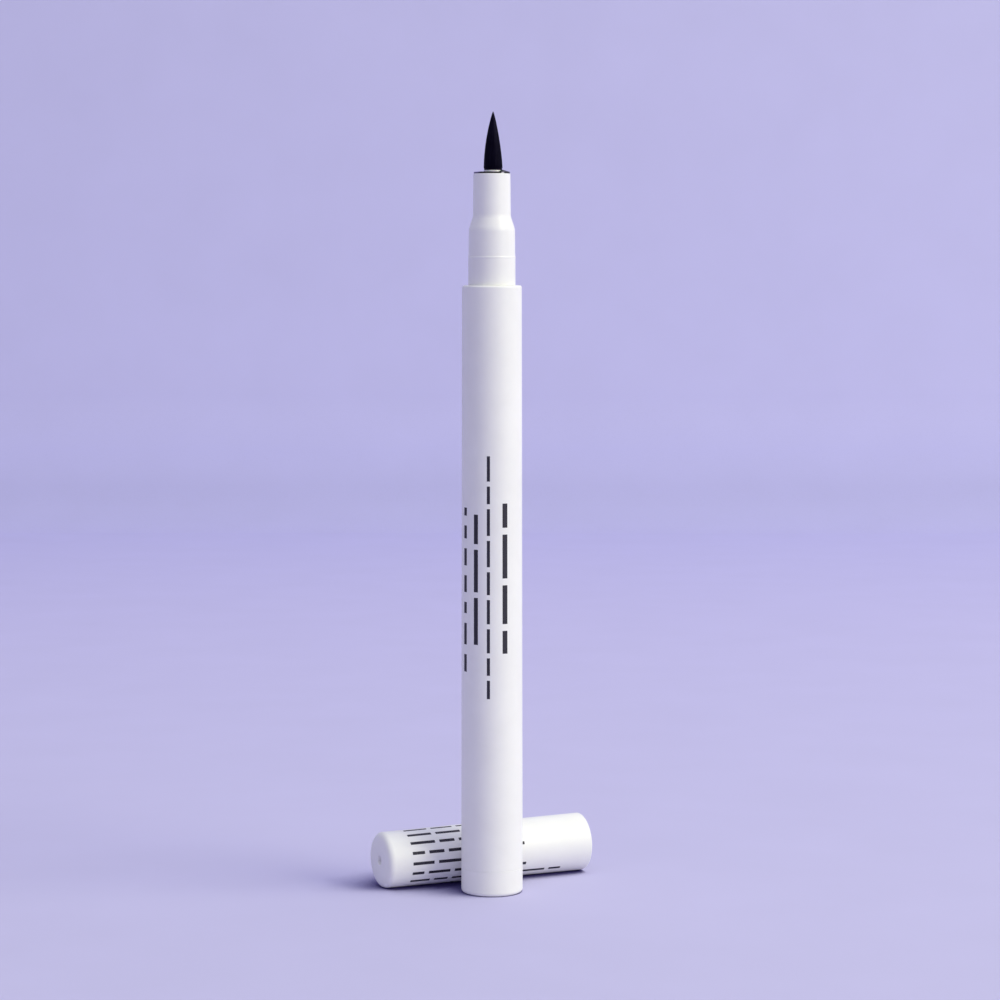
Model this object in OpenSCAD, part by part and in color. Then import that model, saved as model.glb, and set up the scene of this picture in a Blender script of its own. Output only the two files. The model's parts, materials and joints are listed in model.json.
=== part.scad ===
// Liquid eyeliner pen: a slim white pen that stands on its tail with the brush up, and its cap lying behind it.
// The origin is the centre of the tail face. +Z runs up the pen's axis to the tip of the brush.
// The pen holds liquid ink in its barrel. A fibre core carries it through a finned collector to the tuft.
// The cap's pieces are drawn in the cap's own frame: its mouth is at zero and +Z runs to its closed end.

/* [Barrel] */
// Radius of the tail, the widest place of the pen
base_r = 5; // [4.6:0.05:6]
// Radius of the barrel at its front shoulder
shoulder_r = 4.81; // [4.6:0.01:5.4]
// Height of the shoulder, where the closed cap meets the barrel
shoulder_z = 98.6; // [85:0.1:120]
// Thickness of the barrel's wall at the shoulder
front_wall = 0.76; // [0.6:0.01:0.9]
// Width of the lip inside the front of the barrel
lip_w = 0.24; // [0.15:0.01:0.35]
// Height of that lip
lip_h = 1.2; // [0.8:0.1:2]
// Radius of the rounded front edge
edge_r = 0.14; // [0.05:0.01:0.25]
// Chamfer on both sides of the seam between the barrel and the tail plug
seam_cut = 0.05; // [0.02:0.01:0.1]

/* [Tail plug] */
// Height of the part of the plug that shows
plug_h = 4.1; // [3:0.1:6]
// Radius of the rounded edge that the pen stands on
base_fillet = 0.6; // [0.3:0.05:1]
// Length of the stem inside the barrel
stem_len = 7; // [6:0.5:12]
// Thickness of the stem's wall
stem_wall = 0.93; // [0.8:0.01:1.2]
// Thickness of the floor under the ink
floor_t = 1.5; // [1:0.1:2]

/* [Seal rings] */
// Radius of the rubber of both seal rings
ring_wire_r = 0.27; // [0.2:0.01:0.32]
// Distance from the foot of the stem or the skirt's end to the middle of its ring
ring_up = 2.4; // [1.6:0.1:3.5]

/* [Nozzle] */
// Length of the straight land that holds the cap
land_len = 4.35; // [3.5:0.05:6]
// Height of the snap bead above the land
bead_proud = 0.05; // [0.02:0.01:0.1]
// Width of the snap bead
bead_w = 0.24; // [0.15:0.01:0.4]
// Length of the stretch above the bead
waist_len = 4.05; // [3:0.05:6]
// Narrowing of that stretch, for draft
waist_draft = 0.08; // [0.02:0.01:0.15]
// Height of the sloped shoulder under the neck
cone_h = 2.75; // [2:0.05:4]
// Radius that blends the slope into the stretches above and below it
cone_blend = 3; // [1:0.5:4]
// Radius of the neck at its foot
neck_r = 3.04; // [2.9:0.01:3.15]
// Narrowing of the neck, for draft
neck_draft = 0.07; // [0.02:0.01:0.1]
// Length of the neck
neck_len = 6.45; // [6:0.05:8]
// Radius of the rounded edge at the neck's mouth
neck_edge = 0.08; // [0.03:0.01:0.15]
// Length of the skirt inside the barrel
skirt_len = 9.4; // [8:0.1:12]
// Depth of the relief under the barrel's lip
relief = 0.3; // [0.2:0.01:0.4]
// Thickness of the wall at the land
land_wall = 0.74; // [0.6:0.01:0.85]
// Thickness of the wall at the neck's mouth
neck_wall = 0.57; // [0.45:0.01:0.65]

/* [Tuft holder] */
// Radius of the flange on the neck's mouth
flange_r = 2.85; // [2.6:0.01:2.88]
// Thickness of that flange
flange_h = 0.22; // [0.15:0.01:0.35]
// Height of the collar round the root of the tuft
collar_h = 0.33; // [0.2:0.01:0.6]
// Thickness of the collar's wall
collar_wall = 0.16; // [0.1:0.01:0.25]
// Length of the sleeve in the neck
sleeve_len = 6; // [4:0.1:6.2]

/* [Brush tuft] */
// Radius of the tuft where it leaves the collar
tuft_r = 1.5; // [1.4:0.01:1.7]
// Length of the tuft from the collar to its point
tuft_len = 9.4; // [7:0.1:12]
// Radius of the bound root inside the holder
root_r = 1.32; // [1.2:0.01:1.38]
// Height over which the root widens to the tuft
flare_h = 0.12; // [0.05:0.01:0.3]
// Distance of the tuft from the pen's axis, to the right
tuft_off = 0.2; // [0:0.05:0.3]
// Radius of the melted button at the root's end
button_r = 1.9; // [1.6:0.05:2]
// Thickness of that button
button_h = 0.4; // [0.25:0.05:0.6]

/* [Ink feed] */
// Radius of the fibre core
core_r = 0.75; // [0.6:0.01:0.8]
// Length of the core below the collector, in the ink
core_dip = 3.5; // [2:0.1:6]
// Length of the core inside the tuft
core_bite = 4; // [2:0.1:5]
// Thickness of a collector fin
fin_t = 0.35; // [0.25:0.01:0.5]
// Distance from one fin to the next
fin_pitch = 0.9; // [0.7:0.01:1.5]
// Thickness of the collector's hub round the core
hub_wall = 0.6; // [0.4:0.05:0.9]
// Thickness of the collector's foot under the skirt
foot_t = 0.6; // [0.4:0.05:1]
// Width of the air slot through the fins
slot_w = 0.5; // [0.3:0.05:0.8]

/* [Mixing balls] */
// Radius of a steel ball that stirs the ink
ball_r = 1.5; // [1.2:0.01:1.52]

/* [Cap] */
// Length of the cap
cap_len = 36.7; // [34:0.1:45]
// Step from the cap's mouth to the shoulder of the barrel
flush_step = 0.02; // [0:0.01:0.1]
// Radius of the cap at its closed end
cap_end_r = 4.58; // [4.4:0.01:4.7]
// Radius of the rounded edge of the closed end
end_fillet = 1; // [0.5:0.05:1.2]
// Radius of the rounded edge of the mouth
mouth_fillet = 0.3; // [0.1:0.05:0.4]
// Thickness of the end wall
end_wall = 1.2; // [0.8:0.1:1.6]
// Radius of the gate dimple in the closed end
dimple_r = 0.8; // [0.5:0.05:1.2]
// Depth of that dimple
dimple_d = 0.22; // [0.1:0.01:0.4]
// Length of the mouth's straight bore
mouth_len = 10.2; // [9.5:0.1:12]
// Step from the mouth's bore in to the inner cap's guide
guide_step = 0.34; // [0.3:0.01:0.4]
// Height of the ring that keeps the inner cap in
snap_proud = 0.18; // [0.1:0.01:0.2]
// Width of that ring
snap_w = 0.45; // [0.3:0.05:0.7]

/* [Inner cap] */
// Room for the spring between the inner cap and the end wall
spring_room = 7.53; // [6:0.01:9]
// Thickness of the inner cap's wall
inner_wall = 0.25; // [0.2:0.01:0.3]
// Length of its wide bore, which slides over the neck
inner_deep = 5.7; // [5:0.1:7]
// Radius of the room for the tuft
inner_room_r = 2.3; // [2.1:0.05:2.5]
// Thickness of its end
inner_end = 0.7; // [0.5:0.05:1]
// Width of its two guide lands
guide_w = 0.8; // [0.5:0.05:1.2]
// Radius of the pip that centres the spring, at both ends
pip_r = 1.6; // [1.2:0.05:1.7]
// Height of that pip
pip_h = 1.2; // [0.8:0.1:1.6]

/* [Spring] */
// Radius of the spring's wire
wire_r = 0.2; // [0.15:0.01:0.25]
// Radius of the coil, to the middle of the wire
coil_r = 2.2; // [2.1:0.05:2.6]
// Number of turns
coil_turns = 6; // [4:1:8]

/* [Cap on the table] */
// Turn of the cap about the upright axis, from +X
cap_yaw = 25.45; // [0:0.05:60]
// Distance along the cap from its closed end to the place nearest to the pen
cap_reach = 15.66; // [5:0.01:30]
// Gap between the cap and the barrel
cap_gap = 0.3; // [0.2:0.05:5]

/* [Clearances] */
// Radial clearance of pieces that are pressed together
fit = 0.02; // [0.01:0.01:0.04]
// Radial clearance of the cap's mouth on the land
cap_fit = 0.05; // [0.02:0.01:0.1]
// Radial clearance of the inner cap in its guide
slide_fit = 0.04; // [0.02:0.01:0.08]
// Radial clearance of the inner cap's bore on the neck
seal_fit = 0.06; // [0.03:0.01:0.1]
// Gap under a piece that rests on another body
rest_gap = 0.02; // [0.01:0.01:0.05]

/* [Hidden] */
$fn = 96;
white = "#f4f2f7";
chamber_r = shoulder_r - front_wall;
lip_r = chamber_r - lip_w;
stem_r = chamber_r - fit;
cup_r = stem_r - stem_wall;
lead = seam_cut * 3;
// The seal rings fill their grooves, which are a fit wider and deeper than the rubber
groove_r = chamber_r - 2 * ring_wire_r - 2 * fit;
groove_half = ring_wire_r + fit;
ring_mid_r = groove_r + fit + ring_wire_r;
tail_ring_z = plug_h + ring_up;
skirt_z = shoulder_z - lip_h - skirt_len;
nozzle_ring_z = skirt_z + ring_up;
land_r = lip_r - fit;
land_top = shoulder_z + land_len;
waist_z = land_top + bead_w;
waist_top = waist_z + waist_len;
waist_r = land_r - waist_draft;
neck_z = waist_top + cone_h;
neck_top = neck_z + neck_len;
neck_top_r = neck_r - neck_draft;
feed_r = land_r - land_wall;
seat_r = neck_top_r - neck_wall;
// The collector's bore ends where the slope starts, so that the wall stays thick round the step
step_z = waist_top - land_wall;
cone_turn = atan((waist_r - neck_r) / cone_h);
flange_top = neck_top + flange_h;
tuft_z = flange_top + collar_h;
collar_r = root_r + fit + collar_wall;
sleeve_z = neck_top - sleeve_len;
button_z = sleeve_z - button_h;
// Outline of the tuft, as shares of its length and of its radius
tuft_shares = [[0, 1], [0.13, 0.95], [0.26, 0.875], [0.37, 0.79], [0.48, 0.695], [0.57, 0.61], [0.65, 0.52],
               [0.73, 0.41], [0.81, 0.285], [0.88, 0.175], [0.94, 0.085], [0.98, 0.03]];
hub_r = core_r + fit + hub_wall;
fin_r = feed_r - fit;
fin_n = floor((step_z - skirt_z - fin_t) / fin_pitch);
// The balls lie side by side on the floor of the cup in the tail plug
ball_off = ball_r + rest_gap;
ball_z = floor_t + rest_gap + ball_r;
cap_mouth_r = shoulder_r - flush_step;
mouth_r = land_r + cap_fit;
guide_r = mouth_r - guide_step;
snap_r = guide_r - snap_proud;
snap_top = mouth_len + snap_w;
end_z = cap_len - end_wall;
inner_z = snap_top + rest_gap;
slider_r = guide_r - slide_fit;
inner_bore_r = neck_r + seal_fit;
inner_r = inner_bore_r + inner_wall;
inner_room_z = inner_z + inner_deep + inner_bore_r - inner_room_r;
inner_tip_r = inner_room_r + inner_wall;
// The inner cap fills the guide as far as the room for its spring
inner_top = end_z - spring_room;
spring_len = spring_room - 2 * wire_r - 2 * rest_gap;
coil_rings = 8;
wire_sides = 6;
cap_tilt = atan((cap_mouth_r - cap_end_r) / (cap_len - end_fillet - mouth_fillet));
cap_side = base_r + cap_mouth_r + cap_gap;
cap_along = cap_len * cos(cap_tilt) - cap_reach;
cap_lift = cap_mouth_r * cos(cap_tilt) + mouth_fillet * sin(cap_tilt);

// Points on an arc, from one angle to another
function arc(mid, r, from, to, steps = 6) =
    [for (i = [0 : steps]) let (a = from + (to - from) * i / steps) mid + r * [cos(a), sin(a)]];

// The outline of a groove for a seal ring in a wall that the outline climbs
function groove(wall_r, z) = [
    [wall_r, z - groove_half],
    [groove_r, z - groove_half],
    [groove_r, z + groove_half],
    [wall_r, z + groove_half]
];

module seal_ring(z) {
    color("#3b3b3f")
        translate([0, 0, z])
        rotate_extrude()
        translate([ring_mid_r, 0])
        circle(r = ring_wire_r, $fn = 24);
}

// Lays the cap on the table behind the pen, on its lowest straight line
module on_table() {
    translate([
        cap_along * cos(cap_yaw) - cap_side * sin(cap_yaw),
        cap_along * sin(cap_yaw) + cap_side * cos(cap_yaw),
        cap_lift
    ])
        rotate([0, 0, cap_yaw])
        rotate([0, -90 - cap_tilt, 0])
        children();
}

// A tapered tube with a lip inside its front end, which stops the nozzle
module barrel() {
    color(white)
        rotate_extrude()
        polygon(concat(
            [[chamber_r, plug_h], [base_r - seam_cut, plug_h], [base_r, plug_h + seam_cut]],
            arc([shoulder_r - edge_r, shoulder_z - edge_r], edge_r, 0, 90),
            [[lip_r, shoulder_z], [lip_r, shoulder_z - lip_h], [chamber_r, shoulder_z - lip_h]]
        ));
}

// Closes the tail. Its stem is a cup, whose floor is the bottom of the ink chamber
module tail_plug() {
    stem_top = plug_h + stem_len;
    color(white)
        rotate_extrude()
        polygon(concat(
            [[0, 0]],
            arc([base_r - base_fillet, base_fillet], base_fillet, -90, 0),
            [[base_r, plug_h - seam_cut], [base_r - seam_cut, plug_h], [stem_r, plug_h]],
            groove(stem_r, tail_ring_z),
            [[stem_r, stem_top - lead], [stem_r - lead, stem_top], [cup_r, stem_top], [cup_r, floor_t], [0, floor_t]]
        ));
}

module tail_seal_ring() {
    seal_ring(tail_ring_z);
}

module mixing_ball(side) {
    color("#c9ccd1")
        translate([side * ball_off, 0, ball_z])
        sphere(r = ball_r);
}

// The front piece: a skirt inside the barrel, the land and bead that hold the cap, a slope and a neck
module nozzle() {
    lip_z = shoulder_z - lip_h;
    color(white)
        rotate_extrude()
        polygon(concat(
            [[feed_r, skirt_z], [stem_r - lead, skirt_z], [stem_r, skirt_z + lead]],
            groove(stem_r, nozzle_ring_z),
            [[stem_r, lip_z], [land_r - relief, lip_z], [land_r - relief, shoulder_z], [land_r, shoulder_z]],
            [[land_r, land_top], [land_r + bead_proud, land_top + bead_w / 2], [land_r, waist_z]],
            arc([waist_r - cone_blend, waist_top], cone_blend, 0, cone_turn, 4),
            arc([neck_r + cone_blend, neck_z], cone_blend, 180 + cone_turn, 180, 4),
            arc([neck_top_r - neck_edge, neck_top - neck_edge], neck_edge, 0, 90, 3),
            [[seat_r, neck_top], [seat_r, step_z], [feed_r, step_z]]
        ));
}

module nozzle_seal_ring() {
    seal_ring(nozzle_ring_z);
}

// Thin fins hold the ink that the air in the barrel pushes out, and a slot lets air back in
module ink_collector() {
    color("#e6e6ea")
        difference() {
            union() {
                translate([0, 0, skirt_z - foot_t])
                    cylinder(r = stem_r, h = foot_t);
                translate([0, 0, skirt_z])
                    cylinder(r = hub_r, h = step_z - skirt_z);
                for (i = [0 : fin_n])
                    translate([0, 0, skirt_z + i * fin_pitch])
                        cylinder(r = fin_r, h = fin_t);
            }
            translate([0, 0, skirt_z - 2 * foot_t])
                cylinder(r = core_r + fit, h = step_z - skirt_z + 3 * foot_t);
            translate([-slot_w / 2, hub_r, skirt_z - 2 * foot_t])
                cube([slot_w, stem_r, step_z - skirt_z + 3 * foot_t]);
        }
}

// The fibre rod that carries the ink from the chamber into the tuft
module relay_core() {
    core_z = skirt_z - foot_t - core_dip;
    color("#2a2a30")
        translate([0, 0, core_z])
        cylinder(r = core_r, h = button_z + core_bite - core_z);
}

// A ring of foam under the tuft that takes up spare ink
module overflow_sponge() {
    color("#4a4a50")
        difference() {
            translate([0, 0, step_z])
                cylinder(r = seat_r - fit, h = button_z - step_z);
            translate([0, 0, step_z - foot_t])
                cylinder(r = core_r + fit, h = button_z - step_z + 2 * foot_t);
        }
}

// A sleeve in the neck, with a flange on the mouth and a collar round the tuft
module tuft_holder() {
    color("#d9d7de")
        difference() {
            union() {
                translate([0, 0, sleeve_z])
                    cylinder(r = seat_r - fit, h = sleeve_len);
                translate([0, 0, neck_top])
                    cylinder(r = flange_r, h = flange_h);
                translate([tuft_off, 0, neck_top])
                    cylinder(r = collar_r, h = flange_h + collar_h);
            }
            translate([tuft_off, 0, sleeve_z - sleeve_len])
                cylinder(r = root_r + fit, h = 3 * sleeve_len);
        }
}

// Fine bound bristles, wet with ink, that come together in one point
module brush_tuft() {
    color("#15151c")
        difference() {
            translate([tuft_off, 0, 0])
                rotate_extrude()
                polygon(concat(
                    [[0, button_z], [button_r, button_z], [button_r, sleeve_z], [root_r, sleeve_z]],
                    [[root_r, tuft_z], [tuft_r, tuft_z + flare_h]],
                    [for (s = tuft_shares) if (s[0] > 0) [s[1] * tuft_r, tuft_z + s[0] * tuft_len]],
                    [[0, tuft_z + tuft_len]]
                ));
            translate([0, 0, button_z - button_h])
                cylinder(r = core_r + fit, h = button_h + core_bite + rest_gap);
        }
}

// The outer cap: a straight bore that grips the bead on the land, a snap ring and a guide for the inner cap
module cap_shell() {
    color(white)
        on_table()
        rotate_extrude()
        polygon(concat(
            [[mouth_r + lead, 0]],
            arc([cap_mouth_r - mouth_fillet, mouth_fillet], mouth_fillet, -90, 0),
            arc([cap_end_r - end_fillet, cap_len - end_fillet], end_fillet, 0, 90),
            [[dimple_r, cap_len], [dimple_r, cap_len - dimple_d], [0, cap_len - dimple_d]],
            [[0, end_z - pip_h], [pip_r, end_z - pip_h], [pip_r, end_z], [guide_r, end_z], [guide_r, snap_top]],
            [[snap_r, snap_top], [mouth_r, mouth_len]],
            [[mouth_r, lead]]
        ));
}

// A soft cup that closes over the neck and keeps the tuft wet. It slides in the cap's guide
module inner_cap() {
    room_top = inner_top - inner_end;
    wide_top = inner_z + inner_deep;
    color("#f7f7fa")
        on_table()
        rotate_extrude()
        polygon([
            [inner_bore_r, inner_z],
            [slider_r, inner_z],
            [slider_r, inner_z + guide_w],
            [inner_r, inner_z + guide_w],
            [inner_r, wide_top],
            [inner_tip_r, wide_top + inner_r - inner_tip_r],
            [inner_tip_r, inner_top - 2 * guide_w],
            [slider_r, inner_top - 2 * guide_w],
            [slider_r, inner_top - guide_w],
            [inner_tip_r, inner_top - guide_w],
            [inner_tip_r, inner_top],
            [pip_r, inner_top],
            [pip_r, inner_top + pip_h],
            [0, inner_top + pip_h],
            [0, room_top],
            [inner_room_r, room_top],
            [inner_room_r, inner_room_z],
            [inner_bore_r, wide_top]
        ]);
}

// A coil of steel wire between the inner cap and the end wall
module inner_cap_spring() {
    rings = coil_turns * coil_rings;
    points = [
        for (i = [0 : rings]) let (turn = 360 * i / coil_rings)
        for (j = [0 : wire_sides - 1]) let (a = 360 * j / wire_sides, r = coil_r + wire_r * cos(a))
        [r * cos(turn), r * sin(turn), inner_top + rest_gap + wire_r + spring_len * i / rings + wire_r * sin(a)]
    ];
    walls = [
        for (i = [0 : rings - 1])
        for (j = [0 : wire_sides - 1]) let (k = (j + 1) % wire_sides, a = i * wire_sides, b = a + wire_sides)
        each [[a + j, a + k, b + k], [a + j, b + k, b + j]]
    ];
    start = [for (j = [1 : wire_sides - 2]) [0, j + 1, j]];
    last = rings * wire_sides;
    finish = [for (j = [1 : wire_sides - 2]) [last, last + j, last + j + 1]];
    color("#b8bcc4")
        on_table()
        polyhedron(points, concat(walls, start, finish));
}

barrel();
tail_plug();
tail_seal_ring();
mixing_ball(-1);  // mixing_ball_left
mixing_ball(1);  // mixing_ball_right
nozzle();
nozzle_seal_ring();
ink_collector();
relay_core();
overflow_sponge();
tuft_holder();
brush_tuft();
cap_shell();
inner_cap_spring();
inner_cap();
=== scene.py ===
# %% [markdown]
# # Dressing a liquid eyeliner pen
#
# The pen stands on its tail with the brush up, and its cap lies behind it. A imported CAD model gives the
# true place and size of every piece. This lesson keeps those places and gives each piece the rounded
# edges, the bristles and the surface that the real one has.

# %% [markdown]
# ## Step 1: load the frame
#
# The frame is the imported CAD model.

# %% Load the imported model
import bmesh
import bpy
import json
import math
import random
from mathutils import Matrix, Vector, noise


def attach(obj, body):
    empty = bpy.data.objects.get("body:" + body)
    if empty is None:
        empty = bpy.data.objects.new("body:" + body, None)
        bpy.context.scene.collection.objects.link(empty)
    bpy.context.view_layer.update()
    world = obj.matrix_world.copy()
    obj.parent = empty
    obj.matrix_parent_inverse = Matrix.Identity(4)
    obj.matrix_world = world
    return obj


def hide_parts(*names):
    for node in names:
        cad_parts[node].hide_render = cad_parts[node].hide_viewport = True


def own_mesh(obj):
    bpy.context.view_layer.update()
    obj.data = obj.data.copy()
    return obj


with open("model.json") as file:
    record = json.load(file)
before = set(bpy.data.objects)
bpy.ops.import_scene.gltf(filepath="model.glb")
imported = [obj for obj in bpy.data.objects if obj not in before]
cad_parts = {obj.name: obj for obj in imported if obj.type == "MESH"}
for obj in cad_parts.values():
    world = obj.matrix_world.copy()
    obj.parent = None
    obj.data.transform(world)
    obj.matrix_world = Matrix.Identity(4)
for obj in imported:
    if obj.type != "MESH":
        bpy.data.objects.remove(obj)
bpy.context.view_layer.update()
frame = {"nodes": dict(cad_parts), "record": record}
nodes = frame["nodes"]
print("pieces in the frame:", len(nodes))

# %% [markdown]
# ## Step 2: look through the camera
#
# A table-top photographer stands well back with a long lens, so that a slim upright object keeps its
# sides almost parallel. The camera is a little above the brush and tips down by a few degrees. In this
# lesson sizes and places are in millimetres and angles in degrees, and MM turns them into metres.

# %% Place the camera
MM = 0.001
LENS_MM = 108.27
SENSOR_MM = 36
CAMERA_AT = Vector((5.87, -484.15, 102.5))
CAMERA_TIP = 85.456
CAMERA_TURN = 0.54

camera_data = bpy.data.cameras.new("camera")
camera_data.lens = LENS_MM
camera_data.sensor_width = SENSOR_MM
camera_data.clip_start = 20 * MM
camera = bpy.data.objects.new("camera", camera_data)
camera.location = CAMERA_AT * MM
camera.rotation_euler = (math.radians(CAMERA_TIP), 0, math.radians(CAMERA_TURN))
bpy.context.scene.collection.objects.link(camera)
bpy.context.scene.camera = camera
print("camera distance in mm:", round(CAMERA_AT.length, 1))

# %% [markdown]
# ## Step 3: a few helpers
#
# Almost every piece of a pen is round, so it is moulded or turned about one axis. The same way works
# here: half of its section is drawn as a line, the corners of the line are rounded, and the line is
# spun into a surface. A corner is written as radius, height and the distance at which its round starts.

# %% Turn a half section into a round piece
TURN_STEPS = 160
ROUND_STEPS = 5
MERGE_MM = 0.0005


def half_section(corners, closed=True):
    """Draws the line of a half section in the XZ plane, and rounds its corners."""
    shape = bmesh.new()
    points = [shape.verts.new((corner[0] * MM, 0, corner[1] * MM)) for corner in corners]
    for first, second in zip(points, points[1:]):
        shape.edges.new((first, second))
    if closed:
        shape.edges.new((points[-1], points[0]))
    for point, corner in zip(points, corners):
        if len(corner) > 2:
            bmesh.ops.bevel(shape, geom=[point], offset=corner[2] * MM, offset_type="OFFSET",
                            segments=ROUND_STEPS, profile=0.5, affect="VERTICES", material=-1)
    return shape


def clean(shape):
    """Merges the doubles and turns the faces outwards."""
    bmesh.ops.remove_doubles(shape, verts=shape.verts, dist=MERGE_MM * MM)
    bmesh.ops.recalc_face_normals(shape, faces=shape.faces)


def turned(corners, closed=True, steps=TURN_STEPS):
    """Spins a half section once round the Z axis."""
    shape = half_section(corners, closed)
    bmesh.ops.spin(shape, geom=shape.verts[:] + shape.edges[:], cent=(0, 0, 0), axis=(0, 0, 1),
                   angle=math.tau, steps=steps, use_merge=True, use_duplicate=False)
    clean(shape)
    return shape


# %% [markdown]
# A finished shape becomes an object that sits at the origin and rides on a body of the frame. Moulded
# plastic keeps its shine even over long straight walls, and Blender would otherwise bend that shine
# near each rounded edge. The weighted normals give the long walls their own straight shading.

# %% Turn a shape into a piece of the pen
SHARP = math.radians(32)
LONG_WALLS_FIRST = 80


def piece(name, shape, material, body, stands_for=(), even=True):
    """Makes an object of a shape, hangs it on its body and hides the CAD nodes it stands for."""
    mesh = bpy.data.meshes.new(name)
    shape.to_mesh(mesh)
    shape.free()
    mesh.materials.append(material)
    mesh.shade_smooth()
    mesh.set_sharp_from_angle(angle=SHARP)
    item = bpy.data.objects.new(name, mesh)
    bpy.context.scene.collection.objects.link(item)
    if even:
        weighted = item.modifiers.new("even shading", "WEIGHTED_NORMAL")
        weighted.keep_sharp = True
        weighted.weight = LONG_WALLS_FIRST
    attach(item, body)
    if stands_for:
        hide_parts(*stands_for)
    print(name, "faces:", len(mesh.polygons))
    return item


# %% [markdown]
# A material is a tree of nodes. One helper adds a node with its settings and links, and one turns a
# colour as written on a screen into the linear colour that light is counted in.

# %% Helpers for materials
def linear(code):
    """Turns an sRGB colour such as #f4f2f7 into linear red, green, blue and alpha."""
    parts = [int(code[i:i + 2], 16) / 255 for i in (1, 3, 5)]
    return [p / 12.92 if p <= 0.04045 else ((p + 0.055) / 1.055) ** 2.4 for p in parts] + [1]


def add(tree, kind, inputs=(), **settings):
    """Adds a node, sets its properties, and fills its sockets with values or links."""
    node = tree.nodes.new(kind)
    for key, value in settings.items():
        setattr(node, key, value)
    for key, value in dict(inputs).items():
        if isinstance(value, bpy.types.NodeSocket):
            tree.links.new(value, node.inputs[key])
        else:
            node.inputs[key].default_value = value
    return node


def new_material(name, **sockets):
    """Starts a material, and sets the values of its shader's own sockets."""
    material = bpy.data.materials.new(name)
    material.use_nodes = True
    tree = material.node_tree
    shader = tree.nodes["Principled BSDF"]
    for key, value in sockets.items():
        shader.inputs[key.replace("_", " ")].default_value = value
    place = add(tree, "ShaderNodeTexCoord").outputs["Object"]
    return material, tree, shader, place


def per_mm(size):
    """The scale of a pattern whose spots are this many millimetres apart."""
    return 1 / (size * MM)


def between(tree, low, high, by, start=0.0, stop=1.0):
    """A colour ramp that goes from one colour to the other as a value goes from start to stop."""
    ramp = add(tree, "ShaderNodeValToRGB", {"Fac": by})
    for element, code, position in zip(ramp.color_ramp.elements, (low, high), (start, stop)):
        element.color = linear(code)
        element.position = position
    return ramp


def looked_at(tree):
    """A value that is 1 where a surface is seen by the camera, in a reflection or through glass."""
    rays = add(tree, "ShaderNodeLightPath").outputs
    seen = rays["Is Camera Ray"]
    for kind in ("Is Glossy Ray", "Is Transmission Ray"):
        seen = add(tree, "ShaderNodeMath", {0: seen, 1: rays[kind]}, operation="MAXIMUM").outputs[0]
    return seen


def bumps(tree, shader, height, depth_mm):
    """Gives a shader small bumps from a value, of a depth in millimetres."""
    bump = add(tree, "ShaderNodeBump", {"Height": height, "Distance": depth_mm * MM, "Strength": 1.0})
    tree.links.new(bump.outputs["Normal"], shader.inputs["Normal"])


print("white in linear light:", [round(v, 3) for v in linear("#f4f2f7")[:3]])

# %% [markdown]
# ## Step 4: white moulded polypropylene
#
# The barrel, the tail plug, the nozzle and the cap are injection-moulded polypropylene. The mould is
# finely blasted, so the surface has a satin gloss: the lamp shows as a wide soft band and never as a
# sharp spot. Up close there is a faint orange-peel wave, a very fine grain, and a little handling
# haze that changes the gloss. Polypropylene has an IOR of 1.49 and lets a little light in.

# %% Mould the white plastic
HAZE_MM = 9
GRAIN_MM = 0.12
WAVE_MM = 1.6
GRAIN_SHARE = 0.12
WAVE_DEPTH = 0.006


def satin_polypropylene(name, low, high, rough_low, rough_high, seed):
    """Satin white polypropylene: haze in patches, a fine grain and a wide wave. A seed moves them."""
    material, tree, shader, place = new_material(name, IOR=1.49, Subsurface_Weight=0.08,
                                                 Subsurface_Scale=0.4 * MM)
    shader.inputs["Subsurface Radius"].default_value = (1.0, 0.9, 0.8)
    moved = add(tree, "ShaderNodeMapping", {"Vector": place, "Location": (seed, seed / 2, 0)}).outputs[0]
    haze = add(tree, "ShaderNodeTexNoise",
               {"Vector": moved, "Scale": per_mm(HAZE_MM), "Detail": 4.0,
                "Roughness": 0.6}).outputs["Fac"]
    colour = between(tree, low, high, haze, 0.3, 0.62)
    tree.links.new(colour.outputs["Color"], shader.inputs["Base Color"])
    gloss = add(tree, "ShaderNodeMapRange", {"Value": haze, "From Min": 0.3, "From Max": 0.7,
                                            "To Min": rough_low, "To Max": rough_high})
    tree.links.new(gloss.outputs["Result"], shader.inputs["Roughness"])
    grain = add(tree, "ShaderNodeTexNoise",
                {"Vector": moved, "Scale": per_mm(GRAIN_MM), "Detail": 2.0}).outputs["Fac"]
    wave = add(tree, "ShaderNodeTexNoise",
               {"Vector": moved, "Scale": per_mm(WAVE_MM), "Detail": 1.0}).outputs["Fac"]
    both = add(tree, "ShaderNodeMath", {0: grain, 1: GRAIN_SHARE, 2: wave},
               operation="MULTIPLY_ADD").outputs[0]
    bumps(tree, shader, both, WAVE_DEPTH)
    return material


barrel_white = satin_polypropylene("barrel_satin_polypropylene", "#f1f1f0", "#f6f6f5", 0.36, 0.44, 0.0)
plug_white = satin_polypropylene("tail_plug_satin_polypropylene", "#f0f0ef", "#f5f5f4", 0.36, 0.44, 3.1)
nozzle_white = satin_polypropylene("nozzle_satin_polypropylene", "#f1f1f0", "#f6f6f5", 0.34, 0.40, 5.3)
cap_white = satin_polypropylene("cap_satin_polypropylene", "#f0f0ef", "#f5f5f4", 0.42, 0.50, 7.7)

# %% [markdown]
# ## Step 5: the barrel
#
# The barrel is a long tube. It narrows a little towards the front, because a moulded part has to slip
# out of its mould. The front shoulder is almost square, with a thin bright edge, and the tube is open
# inside for the ink.

# %% Turn the barrel
TAIL_R = 5.0
SEAM_Z = 4.1
SHOULDER_R = 4.81
SHOULDER_Z = 98.6
CHAMBER_R = 4.05
LIP_R = 3.81
LIP_Z = 97.4
SEAM_ROUND = 0.07
EDGE_ROUND = 0.34

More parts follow.
